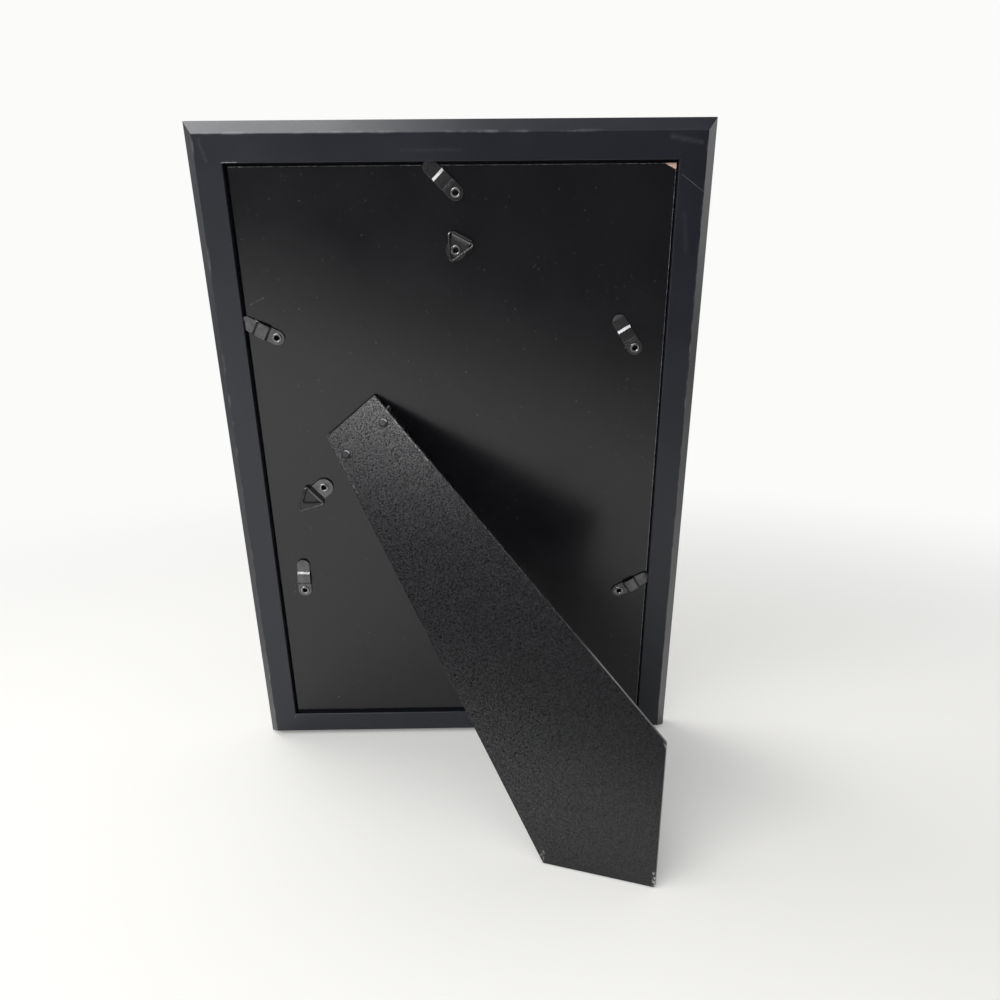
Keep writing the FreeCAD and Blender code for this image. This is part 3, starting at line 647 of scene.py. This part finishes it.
class FRAME_OT_fittings(bpy.types.Operator):
    """Turn buttons, hangers and the rolled eyelets that hold them"""
    bl_idname = "frame.fittings"
    bl_label = "Turn buttons and hangers"

    def execute(self, context):
        sizes = context.scene.frame_fittings
        settings = context.scene.frame_finishes
        plate = nickel_plate("black_nickel_plate", settings.hardware, settings.hardware_dark)
        rubbed = nickel_plate("rubbed_nickel_plate", settings.rubbed, settings.hardware)
        for kind, body, names, edge in (
            ("turn_button_", "button_", BUTTONS, sizes.button_edge),
            ("hanger_strap_", "strap_", HANGERS, sizes.strap_edge),
        ):
            for name in names:
                pressed = eased(merged_copy(kind + name, "pressed_" + kind + name), edge)
                set_in_place(pressed, Matrix.Identity(4), body + name, plate)
                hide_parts(kind + name)
        for kind, joint, names, stack in (
            ("button_eyelet_", "turn_", BUTTONS, sizes.button_stack),
            ("hanger_eyelet_", "swivel_", HANGERS, sizes.strap_stack),
        ):
            pattern = self.eyelet(sizes, stack)
            for name in names:
                rolled = copied(pattern, "rolled_" + kind + name)
                set_in_place(rolled, standing_on(joint + name), "frame", rubbed)
                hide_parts(kind + name)
            bpy.data.objects.remove(pattern)
        for name in HANGERS:
            wire = self.ring(sizes)
            wire.name = "wire_ring_" + name
            set_in_place(wire, self.ring_place(name), "ring_" + name, plate)
            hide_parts("hanger_ring_" + name)
        return {"FINISHED"}

    def eyelet(self, sizes, seat):
        """Barrel through the board with a rim rolled down onto the fitting."""
        middle = (sizes.bore + sizes.rim) / 2
        reach = (sizes.rim - sizes.bore) / 2
        profile = [(sizes.bore, -BOARD_THICKNESS)]
        # Half a turn over the rim, in eight steps
        for step in range(9):
            turn = math.pi * (1 - step / 8)
            profile.append((middle + reach * math.cos(turn),
                            seat + sizes.rim_height * math.sin(turn)))
        profile += [(sizes.barrel, seat), (sizes.barrel, -BOARD_THICKNESS)]
        return lathe("eyelet_pattern", profile)

    def ring(self, sizes):
        """Triangle of wire: its base on Y, its apex along X."""
        bpy.ops.object.select_all(action="DESELECT")
        # A triangle 1.5 high and 2 sin 60 wide, its base brought to Y and then scaled
        bpy.ops.mesh.primitive_circle_add(vertices=3, radius=1, rotation=(0, 0, math.radians(-90)))
        wire = bpy.context.active_object
        bpy.ops.object.transform_apply(location=True, rotation=True, scale=True)
        bpy.ops.object.mode_set(mode="EDIT")
        bpy.ops.mesh.select_all(action="SELECT")
        bpy.ops.transform.translate(value=(0.5, 0, 0))
        bpy.ops.transform.resize(
            value=(sizes.ring_height / 1.5, sizes.ring_half_base / math.sin(math.radians(60)), 1),
            center_override=(0, 0, 0))
        bpy.ops.mesh.bevel(offset=sizes.ring_bend, segments=8, affect="VERTICES")
        bpy.ops.object.mode_set(mode="OBJECT")
        bpy.ops.object.convert(target="CURVE")
        wire = bpy.context.active_object
        wire.data.bevel_depth = sizes.wire
        wire.data.bevel_resolution = 4
        bpy.ops.object.convert(target="MESH")
        return bpy.context.active_object

    def ring_place(self, name):
        """Matrix that hangs a drawn ring where its CAD node hangs."""
        joint = JOINTS["ring_swing_" + name]
        fold = Vector(joint["pos_m"])
        base = Vector(joint["axis"]).normalized()
        low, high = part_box("hanger_ring_" + name)
        apex = (low + high) / 2 - fold
        apex = (apex - base * apex.dot(base)).normalized()
        turned = Matrix((apex, base, apex.cross(base))).transposed().to_4x4()
        return Matrix.Translation(fold) @ turned


class FRAME_OT_easel(bpy.types.Operator):
    """Covered strut, its hinge and its rivets"""
    bl_idname = "frame.easel"
    bl_label = "Easel strut"

    def execute(self, context):
        settings = context.scene.frame_finishes
        plate = nickel_plate("hinge_plate", settings.hardware, settings.hardware_dark)
        for name in ("hinge_board_leaf", "hinge_strut_leaf", "hinge_pin", "leaf_rivets"):
            dress(name, plate)
        sizes = context.scene.frame_fittings
        covered = eased(merged_copy("easel_strut", "covered_strut"), sizes.strut_edge)
        set_in_place(covered, Matrix.Identity(4), "strut", strut_cover(settings))
        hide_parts("easel_strut")
        pressed = self.dished(sizes)
        set_in_place(pressed, Matrix.Identity(4), "strut", painted_rivet(settings))
        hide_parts("strut_rivets")
        return {"FINISHED"}

    def dished(self, sizes):
        """Rivets with a rounded edge, a brim that slopes up to a rim, and a shallow dish."""
        pressed = merged_copy("strut_rivets", "pressed_strut_rivets")
        # The tops of the heads face straight out of the strut, and lie furthest out
        heads = [face for face in pressed.data.polygons if face.normal.dot(STRUT_OUT) > 0.99]
        if not heads:
            raise RuntimeError("no rivet head faces out of the strut")
        top = max(face.center.dot(STRUT_OUT) for face in heads)
        for element in (*pressed.data.vertices, *pressed.data.edges, *pressed.data.polygons):
            element.select = False
        for face in heads:
            face.select = top - face.center.dot(STRUT_OUT) < 5 * WELD
        bpy.ops.object.mode_set(mode="EDIT")
        bpy.ops.mesh.select_mode(type="FACE")
        bpy.ops.transform.translate(value=STRUT_OUT * -(sizes.rivet_bend + sizes.rivet_rise))
        # The rounded edge, in four steps of 20 degrees
        turns = [math.radians(20 * step) for step in range(5)]
        for low, high in zip(turns, turns[1:]):
            bpy.ops.mesh.inset(
                thickness=sizes.rivet_bend * (math.cos(low) - math.cos(high)),
                depth=sizes.rivet_bend * (math.sin(high) - math.sin(low)), use_individual=True)
        for width, rise in (
            (sizes.rivet_brim, sizes.rivet_rise), (sizes.rivet_dish, -sizes.rivet_rise / 2),
        ):
            bpy.ops.mesh.inset(thickness=width, depth=rise, use_individual=True)
        bpy.ops.object.mode_set(mode="OBJECT")
        return pressed


class FRAME_OT_stage(bpy.types.Operator):
    """Pale floor, soft light and the camera"""
    bl_idname = "frame.stage"
    bl_label = "Stage"

    def execute(self, context):
        settings = context.scene.frame_stage
        self.floor(settings)
        self.lights(settings)
        self.surroundings(context, settings)
        self.camera(context, settings)
        context.scene.view_settings.view_transform = "Standard"
        return {"FINISHED"}

    def floor(self, settings):
        """Matt floor that fades to white far off, and in gloss is dim far in front and behind."""
        bpy.ops.object.select_all(action="DESELECT")
        bpy.ops.mesh.primitive_plane_add(size=8)
        floor = bpy.context.active_object
        floor.name = "floor"
        material, tree, shader = finish_named("pale_cloth_floor", Roughness=0.9)
        place = add_node(tree, "ShaderNodeTexCoord", out="Object")
        # Clouds 0.3 m across
        tone = add_node(tree, "ShaderNodeTexNoise", {
            "Vector": place, "Scale": 1 / 0.3, "Detail": 2})
        base = add_node(tree, "ShaderNodeMix", {0: tone, 6: settings.floor, 7: settings.floor_tone},
                        2, data_type="RGBA")
        connect(tree, shader, Base_Color=base)
        camera = add_node(tree, "ShaderNodeLightPath", out="Is Camera Ray")
        gloss = add_node(tree, "ShaderNodeLightPath", out="Is Glossy Ray")
        # In gloss it darkens from 0.22 m ahead, slantwise, and partly from 0.10 m behind
        ahead = add_node(tree, "ShaderNodeVectorMath", (place, (-0.7, 1, 0)), "Value",
                         operation="DOT_PRODUCT")
        beyond = add_node(tree, "ShaderNodeMapRange", (ahead, 0.22, 0.60),
                          interpolation_type="SMOOTHSTEP")
        behind = add_node(tree, "ShaderNodeMapRange", (ahead, -0.10, -0.30, 0, 0.6))
        beyond = add_node(tree, "ShaderNodeMath", (beyond, behind), operation="MAXIMUM")
        beyond = add_node(tree, "ShaderNodeMath", (beyond, gloss), operation="MULTIPLY")
        dim = add_node(tree, "ShaderNodeEmission", (settings.white, settings.dim))
        near = add_node(tree, "ShaderNodeMixShader", (beyond, shader.outputs[0], dim))
        # For the camera it fades to white between 0.25 and 0.90 m from the middle
        far = add_node(tree, "ShaderNodeVectorMath", (place,), "Value", operation="LENGTH")
        fade = add_node(tree, "ShaderNodeMapRange", (far, 0.25, 0.90, 0.25, 1.0),
                        interpolation_type="SMOOTHSTEP")
        fade = add_node(tree, "ShaderNodeMath", (fade, camera), operation="MULTIPLY")
        glow = add_node(tree, "ShaderNodeEmission", (settings.white, 1.0))
        surface = add_node(tree, "ShaderNodeMixShader", (fade, near, glow))
        tree.links.new(surface, tree.nodes["Material Output"].inputs["Surface"])
        floor.data.materials.append(material)

    def lights(self, settings):
        """A soft light overhead, a wide one that glints on what faces up, a panel at the left."""
        for name, place, aimed_high, wide, high, power in (
            ("overhead_soft_light", (0.55, -0.22, 1.42), 0.20, 0.8, 0.8, settings.overhead),
            ("window_soft_light", (0.65, 0.92, 0.83), 0.18, 1.30, 0.28, settings.window),
            ("side_soft_light", (0.94, 0.63, 0.60), 0.18, 0.50, 0.33, settings.side),
        ):
            bpy.ops.object.light_add(type="AREA", location=place)
            light = bpy.context.active_object
            light.name = name
            light.data.shape = "RECTANGLE"
            light.data.size = wide
            light.data.size_y = high
            light.data.energy = power
            aim = Vector((0, 0, aimed_high)) - Vector(place)
            light.rotation_euler = aim.to_track_quat("-Z", "Y").to_euler()

    def surroundings(self, context, settings):
        """White to the camera. In light and gloss, pale behind the frame and dim in front."""
        world = bpy.data.worlds.new("pale_room")
        context.scene.world = world
        world.use_nodes = True
        tree = world.node_tree
        direction = add_node(tree, "ShaderNodeTexCoord", out="Generated")
        aside, ahead, upward = [
            add_node(tree, "ShaderNodeSeparateXYZ", (direction,), axis) for axis in "XYZ"]
        # Behind: brighter to one side, dimmer high up
        wall = add_node(tree, "ShaderNodeMapRange", (aside, -0.8, 0.8, 1.15, 0.45))
        rear = add_node(tree, "ShaderNodeMapRange", (upward, 0.75, 0.35, 0.3, 1.0))
        rear = add_node(tree, "ShaderNodeMath", (rear, wall), operation="MULTIPLY")
        # In front: dim, with a pale ceiling
        high = add_node(tree, "ShaderNodeMapRange", (upward, 0.55, 0.80, 0, 0.9))
        clear = add_node(tree, "ShaderNodeMapRange", (ahead, 0.10, 0.40))
        front = add_node(tree, "ShaderNodeMath", (high, clear, settings.dim),
                         operation="MULTIPLY_ADD")
        behind = add_node(tree, "ShaderNodeMapRange", (ahead, 0.20, -0.30))
        band = add_node(tree, "ShaderNodeMix", {0: behind, 2: front, 3: rear})
        room = add_node(tree, "ShaderNodeMath", (band, settings.room), operation="MULTIPLY")
        camera = add_node(tree, "ShaderNodeLightPath", out="Is Camera Ray")
        strength = add_node(tree, "ShaderNodeMix", {0: camera, 2: room, 3: 1.0})
        background = tree.nodes["Background"]
        background.inputs["Color"].default_value = settings.white
        tree.links.new(strength, background.inputs["Strength"])

    def camera(self, context, settings):
        """Stands where the photograph was taken from."""
        bpy.ops.object.camera_add(location=CAMERA_PLACE)
        camera = bpy.context.active_object
        camera.name = "camera"
        right = (CAMERA_RIGHT - CAMERA_BACK * CAMERA_RIGHT.dot(CAMERA_BACK)).normalized()
        turned = Matrix((right, CAMERA_BACK.cross(right), CAMERA_BACK)).transposed()
        camera.rotation_euler = turned.to_euler()
        camera.data.sensor_width = 36
        camera.data.lens = settings.lens
        camera.data.clip_start = 0.01
        context.scene.camera = camera


class FRAME_PT_panel(bpy.types.Panel):
    """Steps that dress the frame, in order"""
    bl_idname = "FRAME_PT_panel"
    bl_label = "Picture Frame"
    bl_space_type = "VIEW_3D"
    bl_region_type = "UI"
    bl_category = "Picture Frame"

    def draw(self, context):
        for step in OPERATORS:
            self.layout.operator(step.bl_idname)
        for settings in GROUPS:
            group = getattr(context.scene, settings)
            for name in group.bl_rna.properties.keys():
                if name not in ("rna_type", "name"):
                    self.layout.prop(group, name)


GROUPS = {
    "frame_finishes": FRAME_PG_finishes,
    "frame_fittings": FRAME_PG_fittings,
    "frame_stage": FRAME_PG_stage,
}
OPERATORS = (
    FRAME_OT_rails, FRAME_OT_glazing, FRAME_OT_backboard, FRAME_OT_fittings, FRAME_OT_easel,
    FRAME_OT_stage,
)


def register():
    for group in GROUPS.values():
        bpy.utils.register_class(group)
    for step in OPERATORS:
        bpy.utils.register_class(step)
    bpy.utils.register_class(FRAME_PT_panel)
    for name, group in GROUPS.items():
        setattr(bpy.types.Scene, name, bpy.props.PointerProperty(type=group))


def unregister():
    for name in GROUPS:
        delattr(bpy.types.Scene, name)
    bpy.utils.unregister_class(FRAME_PT_panel)
    for step in reversed(OPERATORS):
        bpy.utils.unregister_class(step)
    for group in reversed(list(GROUPS.values())):
        bpy.utils.unregister_class(group)


def main():
    """Dresses the frame."""
    register()
    bpy.ops.frame.rails()
    bpy.ops.frame.glazing()
    bpy.ops.frame.backboard()
    bpy.ops.frame.fittings()
    bpy.ops.frame.easel()
    bpy.ops.frame.stage()


if __name__ == "__main__":
    main()
